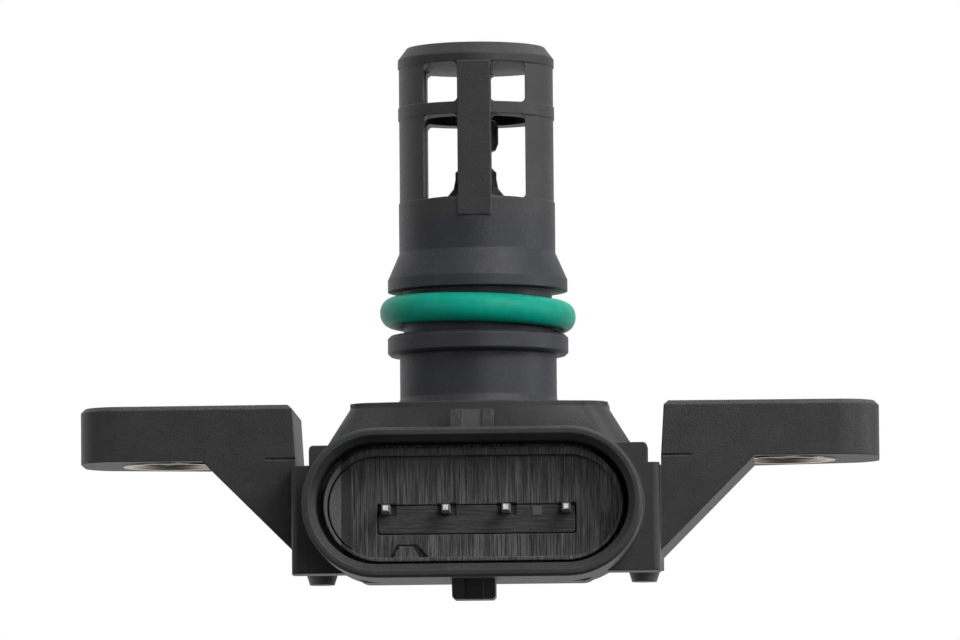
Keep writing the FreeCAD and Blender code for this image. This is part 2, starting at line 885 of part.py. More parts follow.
def solder_heap(scale, x, y):
    """Low eight-sided heap of solder under the board."""
    def ring(radius, z):
        points = [V(x + radius * math.cos(a), y + radius * math.sin(a), z)
                  for a in (math.pi / 4 * i for i in range(8))]
        return Part.makePolygon(points + points[:1])

    return Part.makeLoft([ring(solder_tip_radius * scale, board_bottom - solder_height),
                          ring(solder_radius * scale, board_bottom)], True, True)


def solder_joints():
    """Solder round each leg and lead."""
    joints = [solder_heap(1.0, x, terminal_leg_place).cut(terminal_solid(x)) for x in terminal_places()]
    return joints + [solder_heap(0.8, x, probe_place).cut(lead_solid(x))
                     for x in (-lead_half_pitch, lead_half_pitch)]


# Air temperature probe

def lead_solid(x):
    return post(lead_radius, board_bottom - lead_tail, bead_base + lead_end_in_bead, x, probe_place)


def bead_solid():
    """Bead of the probe, with stepped round ends."""
    waist = (bead_radius * 3 + bead_end_radius) / 4
    step = bead_shoulder / 3
    bead = turned((0, bead_base), [
        (bead_end_radius, bead_base),
        (waist, bead_base + step),
        (bead_radius, bead_base + bead_shoulder),
        (bead_radius, bead_top - bead_shoulder),
        (waist, bead_top - step),
        (bead_end_radius, bead_top),
        (0, bead_top),
    ])
    bead.translate(V(bead_shift, probe_place, 0))
    return bead.cut([lead_solid(-lead_half_pitch), lead_solid(lead_half_pitch)])


def potting_solid():
    """Resin that fills the cup of the cage and rises round the leads; the pressure bore stays open."""
    r = potting_neck_radius
    skirt = potting_skirt_radius
    top = cage_floor + potting_fill_depth
    mound = turned((0, cage_floor), [
        (skirt, cage_floor),
        (skirt, top),
        (r + 0.15, top + potting_skirt_height),
        (r, top + potting_skirt_height * 2),
        (r, potting_neck_top - 0.5),
        (r - 0.5, potting_neck_top),
        (0, potting_neck_top),
    ])
    mound.translate(V(0, probe_place, 0))
    fill = post(cage_bore_radius, cage_floor, top)
    bore = post(pressure_bore_radius, cage_floor - 0.5, top + potting_neck_length, 0, pressure_bore_place)
    return fill.fuse(mound).cut([bore, lead_solid(-lead_half_pitch), lead_solid(lead_half_pitch)])


# Sealing ring

def ring_solid():
    """Ring with a slightly upright oval section, lying a little askew in its groove."""
    centre = groove_radius + ring_groove_gap + ring_section_radial
    points = []
    for i in range(ring_section_sides):
        turn = 2 * math.pi * i / ring_section_sides
        points.append(V(centre + ring_section_radial * math.cos(turn), 0, ring_section_axial * math.sin(turn)))
    ring = Part.Face(Part.makePolygon(points + points[:1])).revolve(V(0, 0, 0), V(0, 0, 1), 360)
    ring.rotate(V(0, 0, 0), V(0, 1, 0), ring_tilt_side_deg)
    ring.rotate(V(0, 0, 0), V(1, 0, 0), -ring_tilt_front_deg)
    ring.translate(V(0, 0, ring_centre_height))
    return ring


# Housing

def housing_solid():
    """Body, ears, nose with its cage and plug socket, moulded as one piece."""
    right_ear = ear_solid()
    left_ear = right_ear.mirror(V(0, 0, 0), V(1, 0, 0))
    for ear in (left_ear, right_ear):
        ear.translate(V(ear_shift, 0, 0))
    nose = nose_solid().fuse(rib_pad()).cut(nose_cuts())
    solid = join([block_solid(), shoulder_solid(), saddle_solid(), shroud_solid(), nose, left_ear, right_ear]
                 + feet() + lug_solid(1) + lug_solid(-1))
    cuts = [socket_space(), carrier_block(carrier_gap), chamber_space(),
            bush_seat(-hole_place), bush_seat(hole_place)]
    cuts += pin_pockets() + nose_cuts()[1:4]
    cuts += [box(x - terminal_half, x + terminal_half, well_floor, carrier_rear,
                 terminal_z, terminal_z + terminal_half + carrier_gap) for x in terminal_places()]
    return solid.cut(cuts).removeSplitter()


def export(name, shapes):
    solids = []
    for shape in shapes:
        solids += shape.Solids
    result = solids[0] if len(solids) == 1 else Part.makeCompound(solids)
    result.exportStep("parts/" + name + ".step")
    print(name, len(solids), round(sum(s.Volume for s in solids), 3),
          all(s.isValid() for s in solids))


def main():
    os.makedirs("parts", exist_ok=True)
    export("housing", [housing_solid()])
    export("bottom_cover", [cover_solid()])
    export("cover_seal", [cover_seal_solid()])
    export("o_ring", [ring_solid()])
    export("bush_left", [bush_solid(-hole_place)])
    export("bush_right", [bush_solid(hole_place)])
    export("terminal_carrier", [carrier_solid()])
    for number, x in enumerate(terminal_places(), 1):
        export("terminal_" + str(number), [terminal_solid(x)])
    export("circuit_board", [board_solid()])
    export("gel_dam", [gel_dam_solid()])
    export("chip_pedestal", [pedestal_solid()])
    export("pressure_chip", [die_solid()])
    export("bond_wires", bond_wires())
    export("gel_fill", [gel_solid()])
    export("signal_chip", [signal_chip_solid()])
    export("chip_capacitors", capacitors())
    export("solder_joints", solder_joints())
    export("probe_lead_left", [lead_solid(-lead_half_pitch)])
    export("probe_lead_right", [lead_solid(lead_half_pitch)])
    export("probe_bead", [bead_solid()])
    export("probe_potting", [potting_solid()])


main()
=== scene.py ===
import math

import bmesh
import bpy
from mathutils import Matrix, Vector


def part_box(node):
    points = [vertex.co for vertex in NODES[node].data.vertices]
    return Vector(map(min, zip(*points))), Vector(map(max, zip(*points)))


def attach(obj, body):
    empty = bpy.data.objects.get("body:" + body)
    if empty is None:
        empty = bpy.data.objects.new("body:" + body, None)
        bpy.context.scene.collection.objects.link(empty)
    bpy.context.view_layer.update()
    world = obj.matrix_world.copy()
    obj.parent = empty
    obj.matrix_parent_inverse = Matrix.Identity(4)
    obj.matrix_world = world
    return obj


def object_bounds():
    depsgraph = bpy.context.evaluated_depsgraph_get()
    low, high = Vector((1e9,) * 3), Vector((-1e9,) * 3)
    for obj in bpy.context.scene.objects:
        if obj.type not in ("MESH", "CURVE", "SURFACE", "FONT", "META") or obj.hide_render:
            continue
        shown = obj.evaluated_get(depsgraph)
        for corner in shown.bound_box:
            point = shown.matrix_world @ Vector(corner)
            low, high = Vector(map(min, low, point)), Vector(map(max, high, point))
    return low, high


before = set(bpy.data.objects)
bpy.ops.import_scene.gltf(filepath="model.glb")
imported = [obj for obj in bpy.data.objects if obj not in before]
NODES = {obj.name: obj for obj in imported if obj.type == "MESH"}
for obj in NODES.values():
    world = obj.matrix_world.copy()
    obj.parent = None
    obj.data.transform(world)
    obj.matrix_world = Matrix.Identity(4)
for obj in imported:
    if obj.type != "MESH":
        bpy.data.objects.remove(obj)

MM = 0.001          # a millimetre in metres

# Floor of the plug socket, in millimetres from the origin of the sensor
FLOOR_DEPTH = (-13.2, -10.4)
FLOOR_HALF_WIDTH = 12.0
FLOOR_CENTRE = -8.44
FLOOR_HALF_HEIGHT = 4.8
LAND_EDGE = -10.42
# Width of the painted shadow along the edge of the coding land
LAND_SHADOW_WIDTH = 0.8
ARC_CENTRE = (0.3, -12.0, -8.05)
ARC_RADIUS = 2.45
ARC_HALF_LINE = 0.03

# Rails of the upper latch lug
RAIL_SPAN = (0.78, 1.75)
RAIL_DEPTH = (-14.6, -10.65)
RAIL_FOOT = -2.5
RAIL_CREST = -1.0
RAIL_FADE = 0.1

# Nose, cap and feet
NOSE_HEIGHT = (0.6, 15.0)
CAP_HEIGHT = (27.3, 28.1)
FEET_DEPTH = (5.0, 8.2)
FEET_SIDE = 11.35
FEET_TOP = -12.75

# Mark on the terminal carrier where its mould was filled
GATE_SIZE = 0.75
GATE_DROP = 0.1

# Chamber, block and shoulder of the housing, as in its solid
CHAMBER_HALF_WIDTH = 9.8
CHAMBER_REAR = 7.0
CHAMBER_CORNER = 0.8
CHAMBER_ROOF = -3.6
BLOCK_TOP = -5.0
SHOULDER_HALF_WIDTH = 12.09
SHOULDER_REAR = 9.0
SHOULDER_SHIFT = 0.25
CORNER_WALL = 1.0
SEAM = 0.01

# Depth of cutter lines and dents, in depths of the skin of the moulding
LINE_DEPTH = 3.0
DENT_DEPTH = 1.2

# Range that a noise mostly keeps to
NOISE_RANGE = (0.3, 0.7)

# Cosine between the rounded normal and the real one where an edge starts to wear and where it is worn
WEAR_LEAN = (0.998, 0.86)

# Kinds of socket, and where a colour mix has its share, its two colours and its result
VALUE = "NodeSocketFloat"
VECTOR = "NodeSocketVector"
MIX_INPUTS = (0, 6, 7)
MIX_RESULT = 2

cad_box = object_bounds()


# Node building

def feed(tree, socket, value):
    """Links a value to a socket, or sets it there as a constant."""
    if isinstance(value, bpy.types.NodeSocket):
        tree.links.new(value, socket)
    elif socket.type == "RGBA":
        socket.default_value = (*value, 1.0)
    else:
        socket.default_value = value


def fill(tree, node, **inputs):
    """Feeds the inputs of a node by name, with _ for a space."""
    for name, value in inputs.items():
        feed(tree, node.inputs[name.replace("_", " ")], value)


def put(tree, kind, settings=None, **inputs):
    """Adds a node with its settings and inputs."""
    node = tree.nodes.new(kind)
    for key, value in (settings or {}).items():
        setattr(node, key, value)
    fill(tree, node, **inputs)
    return node


def maths(tree, operation, *values, clamp=False):
    node = put(tree, "ShaderNodeMath", {"operation": operation, "use_clamp": clamp})
    for socket, value in zip(node.inputs, values):
        feed(tree, socket, value)
    return node.outputs["Value"]


def product(tree, *values):
    result = values[0]
    for value in values[1:]:
        result = maths(tree, "MULTIPLY", result, value)
    return result


def vector_maths(tree, operation, first, second, result="Vector"):
    """Works on two vectors; the result is called Value where it is a number."""
    node = put(tree, "ShaderNodeVectorMath", {"operation": operation})
    feed(tree, node.inputs[0], first)
    feed(tree, node.inputs[1], second)
    return node.outputs[result]


def spread(tree, value, low, high, to_low=0.0, to_high=1.0):
    """Maps a value smoothly from one range to another and keeps it inside."""
    node = put(tree, "ShaderNodeMapRange", {"interpolation_type": "SMOOTHSTEP"}, Value=value,
               From_Min=low, From_Max=high, To_Min=to_low, To_Max=to_high)
    return node.outputs["Result"]


def above(tree, value, limit, soft=0.05):
    """1 where a value is over a limit, with a soft edge."""
    return spread(tree, value, limit - soft, limit + soft)


def below(tree, value, limit, soft=0.05):
    """1 where a value is under a limit, with a soft edge."""
    return spread(tree, value, limit + soft, limit - soft)


def within(tree, value, low, high, soft=0.05):
    """1 where a value lies between two limits, with soft edges."""
    return product(tree, above(tree, value, low, soft), below(tree, value, high, soft))


def noise(tree, spot, scale, detail, roughness=0.5):
    node = put(tree, "ShaderNodeTexNoise", Vector=spot, Scale=scale, Detail=detail, Roughness=roughness)
    return node.outputs["Fac"]


def vary(tree, uneven, low=0.0, high=1.0):
    """Stretches a noise to two limits."""
    return spread(tree, uneven, *NOISE_RANGE, low, high)


def blend(tree, share, first, second):
    """Mixes two colours; a share of 1 gives the second."""
    node = put(tree, "ShaderNodeMix", {"data_type": "RGBA"})
    for number, value in zip(MIX_INPUTS, (share, first, second)):
        feed(tree, node.inputs[number], value)
    return node.outputs[MIX_RESULT]


def lay(tree, colour, tone, strength, *masks):
    """Lays a tone over a colour at a strength, where all the masks are 1."""
    return blend(tree, product(tree, *masks, strength), colour, tone)


def grey(level, blue=None):
    """A linear grey, or one with its own level of blue."""
    return (level, level, level if blue is None else blue)


def millimetres(tree):
    """Place of a point in the frame of its piece."""
    metres = tree.nodes.new("ShaderNodeTexCoord").outputs["Object"]
    return vector_maths(tree, "MULTIPLY", metres, (1 / MM, 1 / MM, 1 / MM))


def axes(tree, vector):
    """The x, y and z of a vector."""
    return put(tree, "ShaderNodeSeparateXYZ", Vector=vector).outputs[:3]


def surface_normal(tree):
    return tree.nodes.new("ShaderNodeNewGeometry").outputs["Normal"]


def group(name, inputs, outputs):
    """A shared effect, with the sockets that it is given and that it puts out."""
    tree = bpy.data.node_groups.new(name, "ShaderNodeTree")
    for label, kind, value in inputs:
        socket = tree.interface.new_socket(label, in_out="INPUT", socket_type=kind)
        socket.default_value = value
    for label, kind in outputs:
        tree.interface.new_socket(label, in_out="OUTPUT", socket_type=kind)
    return tree, tree.nodes.new("NodeGroupInput").outputs, tree.nodes.new("NodeGroupOutput").inputs


def use(tree, effect, **inputs):
    """Places a shared effect with its own values and returns what it puts out."""
    return put(tree, "ShaderNodeGroup", {"node_tree": effect}, **inputs).outputs


# Effects that several finishes share

def moulded_grain():
    """Fine skin of glass-filled plastic: grain height, cloudy tone and bright fibre specks."""
    tree, given, out = group("moulded_grain", [("Grain", VALUE, 6.0), ("Cloud", VALUE, 0.35)],
                             [("Height", VALUE), ("Tone", VALUE), ("Specks", VALUE)])
    spot = millimetres(tree)
    fibre = put(tree, "ShaderNodeTexVoronoi", {"feature": "F1"}, Vector=spot, Scale=3.2)
    feed(tree, out["Height"], noise(tree, spot, given["Grain"], detail=3.0, roughness=0.65))
    feed(tree, out["Tone"], noise(tree, spot, given["Cloud"], detail=4.0, roughness=0.55))
    feed(tree, out["Specks"], spread(tree, fibre.outputs["Distance"], 0.11, 0.03))
    return tree


def edge_wear():
    """Rubbed edges: a rounded normal and a mask that noise breaks up."""
    tree, given, out = group("edge_wear", [("Radius", VALUE, 0.0002), ("Gain", VALUE, 1.0)],
                             [("Mask", VALUE), ("Soft Normal", VECTOR)])
    soft = put(tree, "ShaderNodeBevel", {"samples": 6}, Radius=given["Radius"]).outputs["Normal"]
    lean = vector_maths(tree, "DOT_PRODUCT", soft, surface_normal(tree), result="Value")
    turn = spread(tree, lean, *WEAR_LEAN)
    rub = spread(tree, noise(tree, millimetres(tree), scale=1.7, detail=3.0), 0.3, 0.62, to_low=0.25)
    mask = maths(tree, "MULTIPLY", product(tree, turn, rub), given["Gain"], clamp=True)
    feed(tree, out["Mask"], mask)
    feed(tree, out["Soft Normal"], soft)
    return tree


def settled_dust():
    """Faint pale dust in patches, thicker on faces that look up."""
    tree, given, out = group("settled_dust", [("Amount", VALUE, 0.2)], [("Mask", VALUE)])
    patch = spread(tree, noise(tree, millimetres(tree), scale=2.4, detail=5.0, roughness=0.7), 0.5, 0.72)
    facing = spread(tree, axes(tree, surface_normal(tree))[2], -0.2, 1.0, to_low=0.25)
    feed(tree, out["Mask"], product(tree, patch, facing, given["Amount"]))
    return tree


def brushed_lines():
    """Fine lines of a cutter; Stretch says how often they change in 1 mm along each axis."""
    tree, given, out = group("brushed_lines", [("Stretch", VECTOR, (9.0, 1.0, 0.22))],
                             [("Height", VALUE), ("Tone", VALUE)])
    drawn = vector_maths(tree, "MULTIPLY", millimetres(tree), given["Stretch"])
    lines = noise(tree, drawn, scale=1.0, detail=4.0, roughness=0.75)
    feed(tree, out["Height"], lines)
    feed(tree, out["Tone"], spread(tree, lines, 0.38, 0.68))
    return tree


GRAIN = moulded_grain()
WEAR = edge_wear()
DUST = settled_dust()
LINES = brushed_lines()


def finish(name, metallic=0.0, coat=0.0, ior=1.5, specular=0.5):
    """A blank material with its tree and its shader."""
    material = bpy.data.materials.new(name)
    material.use_nodes = True
    tree = material.node_tree
    shader = tree.nodes["Principled BSDF"]
    fill(tree, shader, Metallic=metallic, IOR=ior, Specular_IOR_Level=specular, Coat_Weight=coat)
    return material, tree, shader


def bumped(tree, height, depth, normal=None):
    """A normal over bumps whose depth is in millimetres."""
    node = put(tree, "ShaderNodeBump", Height=height, Distance=depth * MM, Strength=1.0)
    if normal is not None:
        fill(tree, node, Normal=normal)
    return node.outputs["Normal"]


# Marks, painted light and painted shade that only one moulding has

def looks_out(tree):
    """1 on faces that look out of the mouth of the plug socket."""
    return spread(tree, axes(tree, surface_normal(tree))[1], -0.8, -0.95)


def nose_tones(tree, spot, colour):
    """Slightly blue lower half of the nose, and painted shade that darkens the band of its cap."""
    z = axes(tree, spot)[2]
    colour = lay(tree, colour, (0.0115, 0.0125, 0.0195), 0.8, within(tree, z, *NOSE_HEIGHT, soft=0.5))
    # Painted shade: the band of the cap is darkened.
    return lay(tree, colour, grey(0.004, 0.0045), 0.55, within(tree, z, *CAP_HEIGHT, soft=0.15))


def feet_tone(tree, spot, colour):
    """Painted light: paler outer parts of the feet."""
    x, y, z = axes(tree, spot)
    side = above(tree, maths(tree, "ABSOLUTE", x), FEET_SIDE)
    feet = product(tree, within(tree, y, *FEET_DEPTH), below(tree, z, FEET_TOP, soft=0.03), side)
    # Painted light on the outer sides of the feet.
    return lay(tree, colour, grey(0.13, 0.133), 0.8, feet)


def round_tool_mark(tree, spot):
    away = vector_maths(tree, "DISTANCE", spot, ARC_CENTRE, result="Value")
    return within(tree, away, ARC_RADIUS - ARC_HALF_LINE, ARC_RADIUS + ARC_HALF_LINE, soft=0.03)


def socket_floor(tree, spot, colour, height):
    """Cutter lines and a round tool mark on the floor of the plug socket, its smooth coding land made paler
    with painted light, and a painted shadow along the edge of the land.
    """
    x, y, z = axes(tree, spot)
    floor = product(tree, looks_out(tree), within(tree, y, *FLOOR_DEPTH, soft=0.1),
                    within(tree, x, -FLOOR_HALF_WIDTH, FLOOR_HALF_WIDTH),
                    within(tree, z, FLOOR_CENTRE - FLOOR_HALF_HEIGHT, FLOOR_CENTRE + FLOOR_HALF_HEIGHT))
    fine = use(tree, LINES, Stretch=(9.0, 1.0, 0.22))
    broad = use(tree, LINES, Stretch=(1.6, 1.0, 0.12))
    lined = blend(tree, fine["Tone"], grey(0.0005), grey(0.15, 0.153))
    lined = lay(tree, lined, grey(0.004), 0.55, broad["Tone"])
    lined = lay(tree, lined, grey(0.12, 0.122), 0.5, round_tool_mark(tree, spot), fine["Tone"])
    colour = blend(tree, floor, colour, lined)
    # Painted light: the smooth coding land is made paler.
    land_with_painted_light = blend(tree, height, grey(0.045, 0.046), grey(0.16, 0.162))
    colour = blend(tree, product(tree, floor, below(tree, x, LAND_EDGE)), colour, land_with_painted_light)
    # Painted shadow: a dark band along the edge of the coding land.
    painted_shadow_band = within(tree, x, LAND_EDGE, LAND_EDGE + LAND_SHADOW_WIDTH)
    colour = lay(tree, colour, grey(0.003), 0.8, floor, painted_shadow_band)
    return colour, product(tree, fine["Height"], floor, LINE_DEPTH)


def lug_rails(tree, spot, colour):
    """Rails of the latch lug: dented, with painted shade that darkens them towards their foot."""
    x, y, z = axes(tree, spot)
    off_middle = maths(tree, "ABSOLUTE", x)
    rails = product(tree, within(tree, off_middle, *RAIL_SPAN), within(tree, y, *RAIL_DEPTH),
                    spread(tree, z, RAIL_FOOT, RAIL_FOOT + RAIL_FADE))
    dents = noise(tree, spot, scale=5.5, detail=2.0, roughness=0.6)
    rough = blend(tree, spread(tree, dents, 0.48, 0.64), grey(0.0015), grey(0.04, 0.044))
    # Painted shade: the rails grow darker towards their foot.
    rough = blend(tree, spread(tree, z, RAIL_CREST, RAIL_FOOT, to_low=0.2), rough, grey(0.0002))
    return blend(tree, rails, colour, rough), product(tree, dents, rails, DENT_DEPTH)


# The housing's own marks, with painted shade on its cap and rails and painted light on its feet and coding
# land.
def housing_marks(tree, colour, height):
    spot = millimetres(tree)
    colour = nose_tones(tree, spot, colour)
    colour = feet_tone(tree, spot, colour)
    colour, lines = socket_floor(tree, spot, colour, height)
    colour, dents = lug_rails(tree, spot, colour)
    return colour, maths(tree, "ADD", height, maths(tree, "ADD", lines, dents))


def carrier_marks(tree, colour, height):
    """Faint lines along the carrier and the paler mark where its mould was filled."""
    x, y, z = axes(tree, millimetres(tree))
    along = use(tree, LINES, Stretch=(0.35, 1.0, 6.0))
    lined = blend(tree, along["Tone"], grey(0.006), grey(0.055, 0.057))
    colour = lay(tree, colour, lined, 0.8, looks_out(tree))
    middle = (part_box("terminal_3")[0].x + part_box("terminal_4")[1].x) / 2 / MM
    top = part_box("terminal_carrier")[1].z / MM - GATE_DROP
    gate = product(tree, looks_out(tree), within(tree, x, middle - GATE_SIZE / 2, middle + GATE_SIZE / 2),
                   within(tree, z, top - GATE_SIZE, top))
    return lay(tree, colour, grey(0.085, 0.088), 0.8, gate), height


# Finishes

def black_moulding(name, dark, light, grain, depth, wear=0.5, dust=0.07, marks_and_painted_light=None):
    """Glass-filled plastic. The marks function adds what only one moulding has to its colour and height:
    real marks, and on the housing painted light and painted shade too.
    """
    material, tree, shader = finish(name, specular=0.42)
    skin = use(tree, GRAIN, Grain=grain)
    edge = use(tree, WEAR, Radius=0.16 * MM, Gain=wear)
    dusty = use(tree, DUST, Amount=dust)
    mottle = maths(tree, "ADD", skin["Tone"], skin["Height"])
    colour = blend(tree, spread(tree, mottle, 0.75, 1.25), dark, light)
    colour = lay(tree, colour, grey(0.35, 0.36), 0.05, skin["Specks"])
    height = skin["Height"]
    if marks_and_painted_light is not None:
        colour, height = marks_and_painted_light(tree, colour, height)
    colour = lay(tree, colour, grey(0.16, 0.165), 0.5, edge["Mask"])
    colour = blend(tree, dusty["Mask"], colour, (0.30, 0.29, 0.28))
    fill(tree, shader, Base_Color=colour, Roughness=vary(tree, skin["Height"], low=0.46, high=0.62),
         Normal=bumped(tree, height, depth, edge["Soft Normal"]))
    return material


def housing_black():
    return black_moulding("housing_black", grey(0.013, 0.0145), grey(0.021, 0.023), grain=7.0, depth=0.022,
                          dust=0.06, marks_and_painted_light=housing_marks)


def carrier_black():
    return black_moulding("carrier_black", grey(0.014, 0.015), grey(0.034, 0.035), grain=5.0, depth=0.03,
                          wear=0.2, dust=0.05, marks_and_painted_light=carrier_marks)


def cover_black():
    return black_moulding("cover_black", grey(0.019, 0.020), grey(0.027, 0.028), grain=6.0, depth=0.02)


def green_rubber():
    material, tree, shader = finish("green_rubber", specular=0.12)
    skin = use(tree, GRAIN, Grain=3.0, Cloud=0.8)
    dusty = use(tree, DUST, Amount=0.05)
    colour = blend(tree, vary(tree, skin["Tone"]), (0.0, 0.235, 0.162), (0.001, 0.28, 0.196))
    colour = blend(tree, dusty["Mask"], colour, (0.35, 0.5, 0.42))
    rounded = put(tree, "ShaderNodeBevel", {"samples": 8}, Radius=0.25 * MM).outputs["Normal"]
    fill(tree, shader, Base_Color=colour, Roughness=vary(tree, skin["Height"], low=0.38, high=0.5),
         Normal=bumped(tree, skin["Height"], depth=0.006, normal=rounded))
    return material


def tin_plate():
    material, tree, shader = finish("tin_plate", metallic=1.0)
    skin = use(tree, GRAIN, Grain=2.2, Cloud=1.5)
    edge = use(tree, WEAR, Radius=0.06 * MM, Gain=0.3)
    lines = use(tree, LINES, Stretch=(6.0, 0.6, 6.0))
    colour = blend(tree, lines["Tone"], (0.66, 0.65, 0.62), (0.88, 0.88, 0.86))
    fill(tree, shader, Base_Color=colour, Roughness=vary(tree, skin["Tone"], low=0.4, high=0.55),
         Normal=bumped(tree, lines["Height"], depth=0.012, normal=edge["Soft Normal"]))
    return material


def plated_steel():
    material, tree, shader = finish("plated_steel", metallic=1.0)
    skin = use(tree, GRAIN, Grain=4.0, Cloud=0.9)
    edge = use(tree, WEAR, Radius=0.08 * MM, Gain=0.5)
    lines = use(tree, LINES, Stretch=(0.8, 0.8, 8.0))
    colour = blend(tree, skin["Tone"], (0.26, 0.23, 0.19), (0.42, 0.38, 0.32))
    colour = blend(tree, edge["Mask"], colour, (0.6, 0.57, 0.53))
    rough = spread(tree, lines["Tone"], 0.0, 1.0, to_low=0.28, to_high=0.42)
    fill(tree, shader, Base_Color=colour, Roughness=rough,
         Normal=bumped(tree, lines["Height"], depth=0.01, normal=edge["Soft Normal"]))
    return material


def inner_finish(name, dark, light, rough, metallic=0.0, depth=0.008, coat=0.0):
    """Inner parts: two tones, soft edges and a fine skin."""
    material, tree, shader = finish(name, metallic=metallic, coat=coat)
    skin = use(tree, GRAIN, Grain=5.0, Cloud=0.7)
    edge = use(tree, WEAR, Radius=0.06 * MM, Gain=0.4)
    fill(tree, shader, Base_Color=blend(tree, vary(tree, skin["Tone"]), dark, light),
         Roughness=vary(tree, skin["Height"], *rough),
         Normal=bumped(tree, skin["Height"], depth, edge["Soft Normal"]))
    return material


def probe_resin():
    return inner_finish("probe_resin", grey(0.02), grey(0.05), rough=(0.3, 0.5), depth=0.03)


def grey_sealant():
    return inner_finish("grey_sealant", grey(0.16), grey(0.25), rough=(0.5, 0.7))


def board_green():
    return inner_finish("board_green", (0.008, 0.10, 0.035), (0.015, 0.15, 0.05), rough=(0.3, 0.42),
                        coat=0.3)


def pedestal_glass():
    return inner_finish("pedestal_glass", (0.3, 0.32, 0.33), (0.4, 0.42, 0.44), rough=(0.15, 0.25))


def silicon_die():
    return inner_finish("silicon_die", (0.10, 0.11, 0.14), (0.2, 0.21, 0.25), rough=(0.1, 0.2), metallic=0.6)


def gold_wire():
    return inner_finish("gold_wire", (0.7, 0.5, 0.2), (0.9, 0.68, 0.3), rough=(0.2, 0.3), metallic=1.0)


def chip_epoxy():
    return inner_finish("chip_epoxy", grey(0.02), grey(0.035), rough=(0.5, 0.65))


def ceramic_tan():
    return inner_finish("ceramic_tan", (0.3, 0.2, 0.11), (0.42, 0.3, 0.18), rough=(0.4, 0.55))


def solder():
    return inner_finish("solder", grey(0.6), grey(0.8), rough=(0.2, 0.35), metallic=1.0)


def clear_gel():
    material, tree, shader = finish("clear_gel", ior=1.41)
    skin = use(tree, GRAIN, Grain=1.2, Cloud=0.6)
    colour = blend(tree, skin["Tone"], (0.78, 0.82, 0.86), (0.92, 0.94, 0.96))
    fill(tree, shader, Base_Color=colour, Transmission_Weight=0.9, Roughness=0.08,
         Normal=bumped(tree, skin["Tone"], depth=0.02))
    return material


# Wall over the rear corners of the chamber

def add(name, data):
    """A new object in the scene."""
    thing = bpy.data.objects.new(name, data)
    bpy.context.scene.collection.objects.link(thing)
    return thing


def shoulder_arc(inset):
    """Centre and radius of the round rear of the shoulder, less an inset."""
    radius = (SHOULDER_HALF_WIDTH ** 2 + SHOULDER_REAR ** 2) / (2 * SHOULDER_REAR)
    return (SHOULDER_SHIFT, SHOULDER_REAR - radius), radius - inset


def arc_in_chamber(side, inset, steps=12):
    """Points of that arc from the side wall of the chamber to its rear wall."""
    (middle_x, middle_y), radius = shoulder_arc(inset)
    first = math.acos((CHAMBER_HALF_WIDTH - side * middle_x) / radius)
    last = math.asin((CHAMBER_REAR - middle_y) / radius)
    angles = [first + (last - first) * i / steps for i in range(steps + 1)]
    return [(middle_x + side * radius * math.cos(a), middle_y + radius * math.sin(a)) for a in angles]


def chamber_corner(side, steps=6):
    """Points of the rounded rear corner of the chamber, from its side to its rear."""
    x = CHAMBER_HALF_WIDTH - CHAMBER_CORNER
    y = CHAMBER_REAR - CHAMBER_CORNER
    angles = [math.pi / 2 * i / steps for i in range(steps + 1)]
    return [(side * (x + CHAMBER_CORNER * math.cos(a)), y + CHAMBER_CORNER * math.sin(a)) for a in angles]


def face_outward(mesh):
    """Makes every face of a closed mesh look outward."""
    shape = bmesh.new()
    shape.from_mesh(mesh)
    bmesh.ops.recalc_face_normals(shape, faces=shape.faces)
    shape.to_mesh(mesh)
    shape.free()


def corner_wall(side):
    """Closes the chamber where its rear corner runs out beyond the shoulder: a bit of wall and of roof."""
    low = BLOCK_TOP - CORNER_WALL
    step = BLOCK_TOP - SEAM
    high = CHAMBER_ROOF - SEAM
    inner = arc_in_chamber(side, CORNER_WALL)
    outer = arc_in_chamber(side, 0.0)
    edge = [outer[0]] + chamber_corner(side) + [outer[-1]]
    points = []

    def ring(outline, level):
        first = len(points)
        points.extend((x * MM, y * MM, level * MM) for x, y in outline)
        return list(range(first, len(points)))

    def strip(lower, upper):
        return [(lower[i], lower[i + 1], upper[i + 1], upper[i]) for i in range(len(lower) - 1)]

    inner_low = ring(inner, low)
    inner_high = ring(inner, high)
    edge_low = ring(edge, low)
    edge_step = ring(edge, step)
    outer_step = [edge_step[0]] + ring(outer[1:-1], step) + [edge_step[-1]]
    outer_high = ring(outer, high)
    faces = strip(inner_low, inner_high) + strip(edge_low, edge_step) + strip(outer_step, outer_high)
    faces.append(inner_low + edge_low[::-1])
    faces.append(edge_step + outer_step[1:-1][::-1])
    faces.append(inner_high + outer_high[::-1])
    for end in (0, -1):
        faces.append((inner_low[end], edge_low[end], edge_step[end], outer_high[end], inner_high[end]))
    mesh = bpy.data.meshes.new("corner_wall")
    mesh.from_pydata(points, [], faces)
    face_outward(mesh)
    return mesh


def close_chamber(material):
    for name, side in (("left", -1), ("right", 1)):
        wall = add("chamber_corner_" + name, corner_wall(side))
        wall.data.materials.append(material)
        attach(wall, "root")


def dress(material, *nodes):
    for node in nodes:
        piece = NODES[node]
        piece.data.materials.clear()
        piece.data.materials.append(material)


def dress_all():
    housing = housing_black()
    dress(housing, "housing")
    dress(carrier_black(), "terminal_carrier")
    dress(cover_black(), "bottom_cover")
    dress(grey_sealant(), "cover_seal", "gel_dam")
    dress(green_rubber(), "o_ring")
    dress(plated_steel(), "bush_left", "bush_right")
    dress(tin_plate(), *("terminal_" + str(number) for number in range(1, 5)), "probe_lead_left",
          "probe_lead_right")
    dress(probe_resin(), "probe_bead", "probe_potting")
    dress(board_green(), "circuit_board")
    dress(pedestal_glass(), "chip_pedestal")
    dress(silicon_die(), "pressure_chip")
    dress(gold_wire(), "bond_wires")
    dress(clear_gel(), "gel_fill")
    dress(chip_epoxy(), "signal_chip")
    dress(ceramic_tan(), "chip_capacitors")
    dress(solder(), "solder_joints")
    close_chamber(housing)


